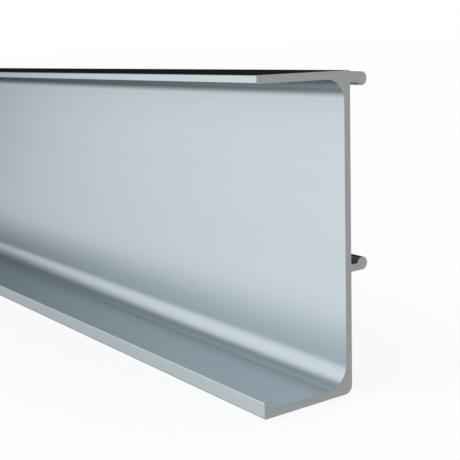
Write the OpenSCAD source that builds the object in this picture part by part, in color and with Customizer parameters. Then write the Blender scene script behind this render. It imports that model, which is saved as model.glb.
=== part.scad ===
// Extruded aluminium handle channel: a C-shaped bar whose hollow side takes the fingers, with a
// lip along its lower front edge and two beaded clip rails along its back.
// The section is drawn front to back (negative to positive) and upwards, with the back of the
// web at zero and the underside at zero. It is then run along the length of the bar.

/* [Bar] */
// Length of the bar
bar_length = 1000; // [200:10:4200]

/* [Channel] */
// Height over both flanges
height = 73.5; // [60:0.5:90]
// Depth from the flange tips to the back of the web
depth = 25.6; // [20:0.1:35]
// Thickness of the upright web
web_t = 1.7; // [1.4:0.1:2.4]
// Thickness of the top flange
top_flange_t = 1.8; // [1.4:0.1:2.4]
// Thickness of the bottom flange
bottom_flange_t = 1.9; // [1.4:0.1:2.4]

/* [Corners] */
// Radius of the hollow corner under the top flange
top_hollow_r = 5; // [2:0.1:8]
// Radius of the hollow corner above the bottom flange
bottom_hollow_r = 5.5; // [2:0.1:8]
// Radius of the outside corner under the back of the web
heel_r = 2; // [0.5:0.1:3]
// Radius of the free edges of the flange and the lip
edge_r = 0.3; // [0.2:0.05:0.6]

/* [Front lip] */
// Height of the lip above the underside of the bar
lip_h = 3.8; // [3.2:0.1:7]
// Thickness of the lip
lip_t = 2; // [1.4:0.1:2.4]
// Radius of the hollow behind the lip
lip_hollow_r = 1.3; // [0.3:0.1:2]

/* [Clip rails] */
// Reach of both rails behind the web
rail_reach = 4.9; // [4:0.1:7]
// Radius of the hollow corners where the rails leave the web
root_r = 0.5; // [0.2:0.05:0.8]

/* [Top rail] */
// Step from the top face down to the rail
top_rail_step = 0.45; // [0.2:0.05:1]
// Thickness of the rail's flange
top_rail_t = 2; // [1.4:0.1:2.4]
// Radius of the downward bead along the rail's edge
top_bead_r = 1.4; // [1.1:0.05:1.45]
// Height of the bead from top to bottom
top_bead_h = 3; // [2.95:0.05:4]

/* [Middle rail] */
// Height of the rail's underside above the underside of the bar
mid_rail_z = 28.6; // [15:0.1:40]
// Thickness of the rail's flange
mid_rail_t = 1.7; // [1.4:0.1:2.4]
// Radius of the upward bead along the rail's edge
mid_bead_r = 1.5; // [1.3:0.05:1.8]

/* [Hidden] */
// Faces of the channel
web_front = -web_t;
tip_front = -depth;
lip_back = tip_front + lip_t;
top_underside = height - top_flange_t;

// Top rail: its faces, and the centres of the two rounds of its bead
top_rail_top = height - top_rail_step;
top_rail_underside = top_rail_top - top_rail_t;
top_bead_y = rail_reach - top_bead_r;
top_bead_upper_z = top_rail_top - top_bead_r;
top_bead_lower_z = top_rail_top - top_bead_h + top_bead_r;

// Middle rail: its upper face, and the centre of its bead
mid_rail_top = mid_rail_z + mid_rail_t;
mid_bead_y = rail_reach - mid_bead_r;
mid_bead_z = mid_rail_z + mid_bead_r;

// Radii that their walls limit
lip_fill_r = min(lip_hollow_r, lip_h - bottom_flange_t - edge_r);
step_r = min(edge_r, top_rail_step / 2);

// Shift that puts the middle of the bar's depth at zero
centre_shift = (depth - rail_reach) / 2;

// Quarter turns that point a corner's inside towards each quadrant
BACK_UP = 0;
FRONT_UP = 90;
FRONT_DOWN = 180;
BACK_DOWN = 270;

$fn = 96;

// Bar of the section between two depths and two heights
module plate(front, back, low, high) {
    translate([front, low]) square([back - front, high - low]);
}

// Sliver between a square corner and the arc that rounds it, with the arc towards `inside`:
// it fills a hollow corner, or is taken off an outside one
module corner(y, z, inside, r) {
    translate([y, z]) rotate(inside) difference() {
        square(r);
        translate([r, r]) circle(r);
    }
}

// Web, two flanges and front lip, with hollow inside corners
module channel() {
    plate(web_front, 0, 0, height);
    plate(tip_front, 0, top_underside, height);
    plate(tip_front, 0, 0, bottom_flange_t);
    plate(tip_front, lip_back, 0, lip_h);
    corner(web_front, top_underside, FRONT_DOWN, top_hollow_r);
    corner(web_front, bottom_flange_t, FRONT_UP, bottom_hollow_r);
    corner(lip_back, bottom_flange_t, BACK_UP, lip_fill_r);
}

// Rail just below the top face, with a bead that hangs from its edge
module top_rail() {
    plate(web_front, top_bead_y, top_rail_underside, top_rail_top);
    plate(top_bead_y - top_bead_r, rail_reach, top_bead_lower_z, top_bead_upper_z);
    translate([top_bead_y, top_bead_upper_z]) circle(top_bead_r);
    translate([top_bead_y, top_bead_lower_z]) circle(top_bead_r);
    corner(0, top_rail_underside, BACK_DOWN, root_r);
}

// Rail below the middle of the web, with a bead that stands on its edge
module middle_rail() {
    plate(web_front, mid_bead_y, mid_rail_z, mid_rail_top);
    translate([mid_bead_y, mid_bead_z]) circle(mid_bead_r);
    corner(0, mid_rail_z, BACK_DOWN, root_r);
    corner(0, mid_rail_top, BACK_UP, root_r);
}

// Slivers that come off the outside corners of the section
module outside_corners() {
    corner(0, 0, FRONT_UP, heel_r);
    corner(0, height, FRONT_DOWN, step_r);
    corner(tip_front, height, BACK_DOWN, edge_r);
    corner(tip_front, top_underside, BACK_UP, edge_r);
    corner(tip_front, 0, BACK_UP, edge_r);
    corner(tip_front, lip_h, BACK_DOWN, edge_r);
    corner(lip_back, lip_h, FRONT_DOWN, edge_r);
}

// Whole section, one closed outline
module section() {
    difference() {
        union() {
            channel();
            top_rail();
            middle_rail();
        }
        outside_corners();
    }
}

// The bar itself, lying along its length with the hollow side to the front
module handle_profile() {
    color([0.71, 0.76, 0.8])
        translate([0, centre_shift, 0])
            rotate([90, 0, 90])
                linear_extrude(height = bar_length, center = true) section();
}

handle_profile();
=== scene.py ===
import math

import bpy
import numpy as np
from mathutils import Matrix


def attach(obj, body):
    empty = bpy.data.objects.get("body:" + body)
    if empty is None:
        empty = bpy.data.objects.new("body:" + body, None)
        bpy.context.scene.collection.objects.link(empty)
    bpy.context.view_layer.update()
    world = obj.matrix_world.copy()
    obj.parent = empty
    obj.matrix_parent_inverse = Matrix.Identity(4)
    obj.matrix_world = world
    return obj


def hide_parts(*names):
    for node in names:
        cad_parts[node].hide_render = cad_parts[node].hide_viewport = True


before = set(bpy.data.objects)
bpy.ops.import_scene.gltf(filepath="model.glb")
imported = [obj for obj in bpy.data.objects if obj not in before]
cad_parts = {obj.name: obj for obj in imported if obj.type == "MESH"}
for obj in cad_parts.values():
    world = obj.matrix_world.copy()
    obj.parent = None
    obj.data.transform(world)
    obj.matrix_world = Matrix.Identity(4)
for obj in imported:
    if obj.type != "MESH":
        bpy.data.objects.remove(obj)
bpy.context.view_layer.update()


# The bar is one aluminium extrusion, pressed hot through a die and sawn square to length.
# Its section is a C-shaped channel with a lip along the lower front edge and two beaded
# clip rails along the back, with every free edge rounded by the die.
MM = 0.001
BAR_LENGTH = 1000 * MM
HEIGHT = 73.5 * MM
DEPTH = 25.6 * MM
WEB_T = 1.7 * MM
TOP_FLANGE_T = 1.8 * MM
BOTTOM_FLANGE_T = 1.9 * MM
TOP_HOLLOW_R = 5 * MM
BOTTOM_HOLLOW_R = 5.5 * MM
HEEL_R = 2 * MM
EDGE_R = 0.3 * MM
LIP_H = 3.8 * MM
LIP_T = 2 * MM
LIP_HOLLOW_R = 1.3 * MM
RAIL_REACH = 4.9 * MM
ROOT_R = 0.5 * MM
TOP_RAIL_STEP = 0.45 * MM
TOP_RAIL_T = 2 * MM
TOP_BEAD_R = 1.4 * MM
TOP_BEAD_H = 3 * MM
MID_RAIL_Z = 28.6 * MM
MID_RAIL_T = 1.7 * MM
MID_BEAD_R = 1.5 * MM
STEP_R = TOP_RAIL_STEP / 2
SAW_BREAK_R = 0.12 * MM

WEB_BACK = (DEPTH - RAIL_REACH) / 2
WEB_FRONT = WEB_BACK - WEB_T
TIP = WEB_BACK - DEPTH
LIP_BACK = TIP + LIP_T
TOP_UNDERSIDE = HEIGHT - TOP_FLANGE_T
RAIL_TOP = HEIGHT - TOP_RAIL_STEP
RAIL_UNDERSIDE = RAIL_TOP - TOP_RAIL_T
TOP_BEAD_Y = WEB_BACK + RAIL_REACH - TOP_BEAD_R
TOP_BEAD_LOW_Z = RAIL_TOP - TOP_BEAD_H + TOP_BEAD_R
TOP_BEAD_DIP = math.degrees(math.asin((TOP_BEAD_LOW_Z - RAIL_UNDERSIDE) / TOP_BEAD_R))
MID_BEAD_Y = WEB_BACK + RAIL_REACH - MID_BEAD_R
MID_RAIL_TOP = MID_RAIL_Z + MID_RAIL_T
MID_BEAD_RISE = math.degrees(math.asin((MID_RAIL_T - MID_BEAD_R) / MID_BEAD_R))

# Each arc of the section: centre to the back and up, radius, first and last angle, steps.
# They run round the metal against the clock, from the heel up the back and down the front.
SECTION_ARCS = np.array([
    [WEB_BACK - HEEL_R, HEEL_R, HEEL_R, -90, 0, 14],
    [WEB_BACK + ROOT_R, MID_RAIL_Z - ROOT_R, ROOT_R, 180, 90, 8],
    [MID_BEAD_Y, MID_RAIL_Z + MID_BEAD_R, MID_BEAD_R, -90, 180 - MID_BEAD_RISE, 44],
    [WEB_BACK + ROOT_R, MID_RAIL_TOP + ROOT_R, ROOT_R, 270, 180, 8],
    [WEB_BACK + ROOT_R, RAIL_UNDERSIDE - ROOT_R, ROOT_R, 180, 90, 8],
    [TOP_BEAD_Y, TOP_BEAD_LOW_Z, TOP_BEAD_R, 180 + TOP_BEAD_DIP, 360, 28],
    [TOP_BEAD_Y, RAIL_TOP - TOP_BEAD_R, TOP_BEAD_R, 0, 90, 16],
    [WEB_BACK, RAIL_TOP, 0, 0, 0, 0],
    [WEB_BACK - STEP_R, HEIGHT - STEP_R, STEP_R, 0, 90, 6],
    [TIP + EDGE_R, HEIGHT - EDGE_R, EDGE_R, 90, 180, 8],
    [TIP + EDGE_R, TOP_UNDERSIDE + EDGE_R, EDGE_R, 180, 270, 8],
    [WEB_FRONT - TOP_HOLLOW_R, TOP_UNDERSIDE - TOP_HOLLOW_R, TOP_HOLLOW_R, 90, 0, 24],
    [WEB_FRONT - BOTTOM_HOLLOW_R, BOTTOM_FLANGE_T + BOTTOM_HOLLOW_R, BOTTOM_HOLLOW_R, 0, -90, 24],
    [LIP_BACK + LIP_HOLLOW_R, BOTTOM_FLANGE_T + LIP_HOLLOW_R, LIP_HOLLOW_R, 270, 180, 12],
    [LIP_BACK - EDGE_R, LIP_H - EDGE_R, EDGE_R, 0, 90, 8],
    [TIP + EDGE_R, LIP_H - EDGE_R, EDGE_R, 90, 180, 8],
    [TIP + EDGE_R, EDGE_R, EDGE_R, 180, 270, 8],
])


def section_outline(arcs):
    """Points once round the section, and the outward normals at both ends of each edge.

    A point is the arc's centre plus its radius times (cosine, sine) of an angle that runs evenly
    from the first to the last. Along an arc the normals are radial, towards the centre where the
    arc runs with the clock. A flat from one arc to the next has its own normal at both ends.
    """
    steps = arcs[:, 5].astype(int)
    which = np.repeat(np.arange(len(arcs)), steps + 1)
    first = np.repeat(np.cumsum(steps + 1) - steps - 1, steps + 1)
    share = (np.arange(len(which)) - first) / np.maximum(steps[which], 1)
    y, z, radius, start, end, _ = arcs[which].T
    angle = np.radians(start + (end - start) * share)
    radial = np.stack([np.cos(angle), np.sin(angle)], axis=1)
    points = np.stack([y, z], axis=1) + radius[:, None] * radial
    radial = radial * np.where(end < start, -1.0, 1.0)[:, None]
    edge = np.roll(points, -1, axis=0) - points
    flat = np.stack([edge[:, 1], -edge[:, 0]], axis=1)
    flat = flat / np.linalg.norm(flat, axis=1, keepdims=True)
    same = (which == np.roll(which, -1))[:, None]
    return points, np.where(same, radial, flat), np.where(same, np.roll(radial, -1, axis=0), flat)


def sawn_bar(name, arcs, length, body_steps, break_r, break_steps):
    """The section carried along the length of the bar, with both sawn edges just broken.

    A point is the section's point, moved into the metal along its normal by an inset, at a station
    along the bar. The inset is zero along the bar. At each end it follows a quarter round: the
    station is the end less r (1 - cosine), and the inset r (1 - sine), of an angle that falls from
    a right angle to zero. The two ends are closed by flat faces.
    """
    outline, near_normal, far_normal = section_outline(arcs)
    count = len(outline)
    mean = near_normal + np.roll(far_normal, 1, axis=0)
    mean = mean / np.linalg.norm(mean, axis=1, keepdims=True)
    turn = np.linspace(0, np.pi / 2, break_steps + 1)
    round_x = length / 2 - break_r * (1 - np.cos(turn))
    along = np.linspace(-round_x[-1], round_x[-1], body_steps + 1)[1:-1]
    x = np.concatenate([-round_x, along, round_x[::-1]])
    lean = np.concatenate([-np.cos(turn), np.zeros_like(along), np.cos(turn[::-1])])
    upright = np.sqrt(1 - lean ** 2)
    inset = break_r * (1 - upright)
    across = outline[None] - inset[:, None, None] * mean[None]
    grid_x = np.broadcast_to(x[:, None, None], (len(x), count, 1))
    points = np.concatenate([grid_x, across], axis=2).reshape(-1, 3)

    station, at = np.meshgrid(np.arange(len(x) - 1), np.arange(count), indexing="ij")
    after = (at + 1) % count
    quads = np.stack([station * count + at, station * count + after,
                      (station + 1) * count + after, (station + 1) * count + at], axis=2).reshape(-1, 4)
    normal_of = np.stack([near_normal, far_normal, far_normal, near_normal], axis=1)[None]
    end_of = np.stack([station, station, station + 1, station + 1], axis=2)
    normals = np.concatenate([lean[end_of][..., None], upright[end_of][..., None] * normal_of], axis=3)
    left_cap = np.arange(count)[::-1]
    right_cap = np.arange(count) + (len(x) - 1) * count
    cap_normals = np.repeat([[-1.0, 0, 0], [1.0, 0, 0]], count, axis=0)

    mesh = bpy.data.meshes.new(name)
    mesh.from_pydata(points, [], [*quads.tolist(), left_cap.tolist(), right_cap.tolist()])
    mesh.polygons.foreach_set("use_smooth", np.ones(len(mesh.polygons), bool))
    sawn = np.abs(x[:-1] + x[1:]) / 2 > round_x[-1]
    mesh.polygons.foreach_set("material_index", np.append(np.repeat(sawn, count), [1, 1]).astype(np.int32))
    mesh.normals_split_custom_set(np.concatenate([normals.reshape(-1, 3), cap_normals]))
    mesh.update()
    return mesh


BODY_STEPS = 24
BREAK_STEPS = 3
bar_mesh = sawn_bar("bar", SECTION_ARCS, BAR_LENGTH, BODY_STEPS, SAW_BREAK_R, BREAK_STEPS)
bar = bpy.data.objects.new("bar", bar_mesh)
bpy.context.scene.collection.objects.link(bar)

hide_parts("handle_profile")
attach(bar, "root")


# Lines that the die draws along the bar and the saw across its ends. Both are the same fine
# and broad noise, stretched by the coordinates that a material hands in.
FINE_DETAIL = 2.0
BROAD_DETAIL = 3.0

lines = bpy.data.node_groups.new("tool_lines", "ShaderNodeTree")
lines.interface.new_socket("Vector", in_out="INPUT", socket_type="NodeSocketVector")
lines.interface.new_socket("Fine Scale", in_out="INPUT", socket_type="NodeSocketFloat")
lines.interface.new_socket("Broad Scale", in_out="INPUT", socket_type="NodeSocketFloat")
lines.interface.new_socket("Fine", in_out="OUTPUT", socket_type="NodeSocketFloat")
lines.interface.new_socket("Broad", in_out="OUTPUT", socket_type="NodeSocketFloat")
lines_in = lines.nodes.new("NodeGroupInput")
lines_out = lines.nodes.new("NodeGroupOutput")
for width, detail in (("Fine", FINE_DETAIL), ("Broad", BROAD_DETAIL)):
    noise = lines.nodes.new("ShaderNodeTexNoise")
    noise.inputs["Detail"].default_value = detail
    lines.links.new(lines_in.outputs["Vector"], noise.inputs["Vector"])
    lines.links.new(lines_in.outputs[width + " Scale"], noise.inputs["Scale"])
    lines.links.new(noise.outputs["Fac"], lines_out.inputs[width])


# The body is etched and anodised to a satin silver with a cool cast, darker and sharper where it is
# seen at a flat angle. Under the even grain run faint lines from the die, long along the bar and
# fine across it, which spread a reflection across the bar more than along it.
SATIN_DARK = (0.645, 0.723, 0.762, 1)
SATIN_LIGHT = (0.675, 0.753, 0.792, 1)
SATIN_EDGE = (0.5, 0.5, 0.5, 1)
SATIN_ROUGHNESS = (0.30, 0.34)
SATIN_FLAT_ANGLE = (0.8, 1)
SATIN_SHARPENING = (1, 0.35)
SATIN_SPREAD = 0.7
SATIN_FINE = 2500
SATIN_BROAD = 220
SATIN_RELIEF = 0.0005 * MM
DIE_STRETCH = 0.001

satin = bpy.data.materials.new("satin_anodised")
satin.use_nodes = True
nodes, links = satin.node_tree.nodes, satin.node_tree.links
satin_bsdf = nodes["Principled BSDF"]
satin_bsdf.inputs["Metallic"].default_value = 1
satin_bsdf.inputs["Specular Tint"].default_value = SATIN_EDGE
satin_bsdf.inputs["Anisotropic"].default_value = SATIN_SPREAD
crosswise = nodes.new("ShaderNodeTangent")
crosswise.direction_type = "RADIAL"
crosswise.axis = "X"
links.new(crosswise.outputs["Tangent"], satin_bsdf.inputs["Tangent"])
place = nodes.new("ShaderNodeTexCoord")
stretch = nodes.new("ShaderNodeVectorMath")
stretch.operation = "MULTIPLY"
stretch.inputs[1].default_value = (DIE_STRETCH, 1, 1)
links.new(place.outputs["Object"], stretch.inputs[0])
drawn = nodes.new("ShaderNodeGroup")
drawn.node_tree = lines
drawn.inputs["Fine Scale"].default_value = SATIN_FINE
drawn.inputs["Broad Scale"].default_value = SATIN_BROAD
links.new(stretch.outputs["Vector"], drawn.inputs["Vector"])
shade = nodes.new("ShaderNodeMix")
shade.data_type = "RGBA"
shade.inputs["A"].default_value = SATIN_DARK
shade.inputs["B"].default_value = SATIN_LIGHT
links.new(drawn.outputs["Broad"], shade.inputs["Factor"])
links.new(shade.outputs["Result"], satin_bsdf.inputs["Base Color"])
dull = nodes.new("ShaderNodeMapRange")
dull.inputs["To Min"].default_value, dull.inputs["To Max"].default_value = SATIN_ROUGHNESS
links.new(drawn.outputs["Fine"], dull.inputs["Value"])
angle = nodes.new("ShaderNodeLayerWeight")
sharpen = nodes.new("ShaderNodeMapRange")
sharpen.inputs["From Min"].default_value, sharpen.inputs["From Max"].default_value = SATIN_FLAT_ANGLE
sharpen.inputs["To Min"].default_value, sharpen.inputs["To Max"].default_value = SATIN_SHARPENING
links.new(angle.outputs["Facing"], sharpen.inputs["Value"])
polish = nodes.new("ShaderNodeMath")
polish.operation = "MULTIPLY"
links.new(dull.outputs["Result"], polish.inputs[0])
links.new(sharpen.outputs["Result"], polish.inputs[1])
links.new(polish.outputs["Value"], satin_bsdf.inputs["Roughness"])
grain = nodes.new("ShaderNodeBump")
grain.inputs["Distance"].default_value = SATIN_RELIEF
links.new(drawn.outputs["Fine"], grain.inputs["Height"])
links.new(grain.outputs["Normal"], satin_bsdf.inputs["Normal"])
bar.data.materials.append(satin)


# The ends are bare metal, as the saw left them: darker and duller than the anodised body, with
# shallow arcs about the axle of the blade, which stood above and behind the bar.
SAWN_DARK = (0.31, 0.315, 0.315, 1)
SAWN_LIGHT = (0.35, 0.355, 0.355, 1)
SAWN_ROUGHNESS = (0.45, 0.58)
SAWN_FINE = 3000
SAWN_BROAD = 420
SAWN_RELIEF = 0.006 * MM
BLADE_AXLE = (0, 60 * MM, 230 * MM)

sawn_metal = bpy.data.materials.new("sawn_aluminium")
sawn_metal.use_nodes = True
nodes, links = sawn_metal.node_tree.nodes, sawn_metal.node_tree.links
sawn_bsdf = nodes["Principled BSDF"]
sawn_bsdf.inputs["Metallic"].default_value = 1
place = nodes.new("ShaderNodeTexCoord")
across = nodes.new("ShaderNodeVectorMath")
across.operation = "MULTIPLY"
across.inputs[1].default_value = (0, 1, 1)
links.new(place.outputs["Object"], across.inputs[0])
swing = nodes.new("ShaderNodeVectorMath")
swing.operation = "DISTANCE"
swing.inputs[1].default_value = BLADE_AXLE
links.new(across.outputs["Vector"], swing.inputs[0])
sawn = nodes.new("ShaderNodeGroup")
sawn.node_tree = lines
sawn.inputs["Fine Scale"].default_value = SAWN_FINE
sawn.inputs["Broad Scale"].default_value = SAWN_BROAD
links.new(swing.outputs["Value"], sawn.inputs["Vector"])
shade = nodes.new("ShaderNodeMix")
shade.data_type = "RGBA"
shade.inputs["A"].default_value = SAWN_DARK
shade.inputs["B"].default_value = SAWN_LIGHT
links.new(sawn.outputs["Broad"], shade.inputs["Factor"])
links.new(shade.outputs["Result"], sawn_bsdf.inputs["Base Color"])
dull = nodes.new("ShaderNodeMapRange")
dull.inputs["To Min"].default_value, dull.inputs["To Max"].default_value = SAWN_ROUGHNESS
links.new(sawn.outputs["Fine"], dull.inputs["Value"])
links.new(dull.outputs["Result"], sawn_bsdf.inputs["Roughness"])
arcs = nodes.new("ShaderNodeBump")
arcs.inputs["Distance"].default_value = SAWN_RELIEF
links.new(sawn.outputs["Fine"], arcs.inputs["Height"])
links.new(arcs.outputs["Normal"], sawn_bsdf.inputs["Normal"])
bar.data.materials.append(sawn_metal)


# The floor is a wide sheet of white board under the bar. The camera sees it as white, with a
# part of its own matt shading left in, so that the bar's shadow stays. In its place the metal
# reflects the white of the studio, which goes on below.
FLOOR_HALF = 12.0
FLOOR_WHITE = (0.95, 0.95, 0.95, 1)
FLOOR_SHADING = 0.2

floor_mesh = bpy.data.meshes.new("floor")
floor_corners = FLOOR_HALF * np.array([[-1, -1, 0], [1, -1, 0], [1, 1, 0], [-1, 1, 0]])
floor_mesh.from_pydata(floor_corners, [], [[0, 1, 2, 3]])
floor = bpy.data.objects.new("floor", floor_mesh)
bpy.context.scene.collection.objects.link(floor)
board = bpy.data.materials.new("white_board")
board.use_nodes = True
nodes, links = board.node_tree.nodes, board.node_tree.links
matt = nodes["Principled BSDF"]
matt.inputs["Base Color"].default_value = FLOOR_WHITE
matt.inputs["Roughness"].default_value = 1
matt.inputs["Specular IOR Level"].default_value = 0
white = nodes.new("ShaderNodeEmission")
path = nodes.new("ShaderNodeLightPath")
share = nodes.new("ShaderNodeMath")
share.operation = "MULTIPLY"
share.inputs[1].default_value = 1 - FLOOR_SHADING
links.new(path.outputs["Is Camera Ray"], share.inputs[0])
whiten = nodes.new("ShaderNodeMixShader")
links.new(share.outputs["Value"], whiten.inputs["Fac"])
links.new(matt.outputs["BSDF"], whiten.inputs[1])
links.new(white.outputs["Emission"], whiten.inputs[2])
links.new(whiten.outputs["Shader"], nodes["Material Output"].inputs["Surface"])
floor_mesh.materials.append(board)
floor.visible_glossy = False


# The studio is white all round, with soft dark flags for the metal to reflect. Each flag has a
# turn from +X and a height, in degrees, the angles from there at which it is still full and has
# faded out, and the colour that it leaves of the white.
FLAGS = (
    (136, 28, 38, 50, (0, 0, 0, 1)),
    (174, 8, 24, 32, (0, 0.02, 0.1, 1)),
    (-171, -38, 20, 28, (0, 0, 0, 1)),
)
AMBIENT = 0.95

world = bpy.data.worlds.new("studio")
bpy.context.scene.world = world
world.use_nodes = True
nodes, links = world.node_tree.nodes, world.node_tree.links
sky = nodes["Background"]
look = nodes.new("ShaderNodeTexCoord")
shades = []
for flag_turn, flag_rise, full, fade, colour in FLAGS:
    turn, rise = np.radians([flag_turn, flag_rise])
    towards = nodes.new("ShaderNodeVectorMath")
    towards.operation = "DOT_PRODUCT"
    level = np.cos(rise)
    towards.inputs[1].default_value = (level * np.cos(turn), level * np.sin(turn), np.sin(rise))
    links.new(look.outputs["Generated"], towards.inputs[0])
    cover = nodes.new("ShaderNodeMapRange")
    cover.interpolation_type = "SMOOTHSTEP"
    cover.inputs["From Min"].default_value = math.cos(math.radians(fade))
    cover.inputs["From Max"].default_value = math.cos(math.radians(full))
    links.new(towards.outputs["Value"], cover.inputs["Value"])
    shade = nodes.new("ShaderNodeMix")
    shade.data_type = "RGBA"
    shade.blend_type = "MULTIPLY"
    shade.inputs["A"].default_value = (1, 1, 1, 1)
    shade.inputs["B"].default_value = colour
    links.new(cover.outputs["Result"], shade.inputs["Factor"])
    shades.append(shade)
for nearer, farther in zip(shades, shades[1:]):
    links.new(nearer.outputs["Result"], farther.inputs["A"])
path = nodes.new("ShaderNodeLightPath")
seen = nodes.new("ShaderNodeMix")
seen.data_type = "RGBA"
seen.inputs["A"].default_value = (1, 1, 1, 1)
links.new(path.outputs["Is Glossy Ray"], seen.inputs["Factor"])
links.new(shades[-1].outputs["Result"], seen.inputs["B"])
links.new(seen.outputs["Result"], sky.inputs["Color"])
dim = nodes.new("ShaderNodeMapRange")
dim.inputs["To Min"].default_value = 1
dim.inputs["To Max"].default_value = AMBIENT
links.new(path.outputs["Is Diffuse Ray"], dim.inputs["Value"])
links.new(dim.outputs["Result"], sky.inputs["Strength"])


# The lamp is a large soft panel, hung above and in front of the bar and turned towards it. It
# casts the faint shadow on the floor, and the metal doesn't reflect it.
LAMP_SIDE = 1.6
LAMP_WATTS = 6
LAMP_AT = (-0.6, -1.4, 1.8)
LAMP_TILT = math.radians(42)
LAMP_TURN = math.radians(-23)

lamp_data = bpy.data.lights.new("panel", "AREA")
lamp_data.shape = "SQUARE"
lamp_data.size = LAMP_SIDE
lamp_data.energy = LAMP_WATTS
lamp = bpy.data.objects.new("panel", lamp_data)
bpy.context.scene.collection.objects.link(lamp)
lamp.matrix_world = (Matrix.Translation(LAMP_AT) @ Matrix.Rotation(LAMP_TURN, 4, "Z")
                     @ Matrix.Rotation(LAMP_TILT, 4, "X"))
lamp.visible_glossy = False


# The camera stands in front of the sawn right end, a little above the top flange, and looks
# along the bar into its hollow side. Its focal length is in pixels of a square picture.
PHOTO_SIDE = 460
SENSOR = 36.0
FOCAL_PX = 971.069
CAMERA_X = BAR_LENGTH / 2 + 156.535 * MM
CAMERA_Y = WEB_BACK - 146.603 * MM
CAMERA_Z = 80.035 * MM
TURN, TILT, ROLL = np.radians([54.127, 79.1, -1.778])
NEAR_LIMIT = 0.01
FAR_LIMIT = 100

camera_data = bpy.data.cameras.new("camera")
camera_data.sensor_width = SENSOR
camera_data.lens = FOCAL_PX / PHOTO_SIDE * SENSOR
camera_data.clip_start = NEAR_LIMIT
camera_data.clip_end = FAR_LIMIT
camera = bpy.data.objects.new("camera", camera_data)
bpy.context.scene.collection.objects.link(camera)
camera_turn = Matrix.Rotation(TURN, 4, "Z") @ Matrix.Rotation(TILT, 4, "X") @ Matrix.Rotation(ROLL, 4, "Z")
camera.matrix_world = Matrix.Translation((CAMERA_X, CAMERA_Y, CAMERA_Z)) @ camera_turn
bpy.context.scene.camera = camera
bpy.context.scene.view_settings.view_transform = "Standard"
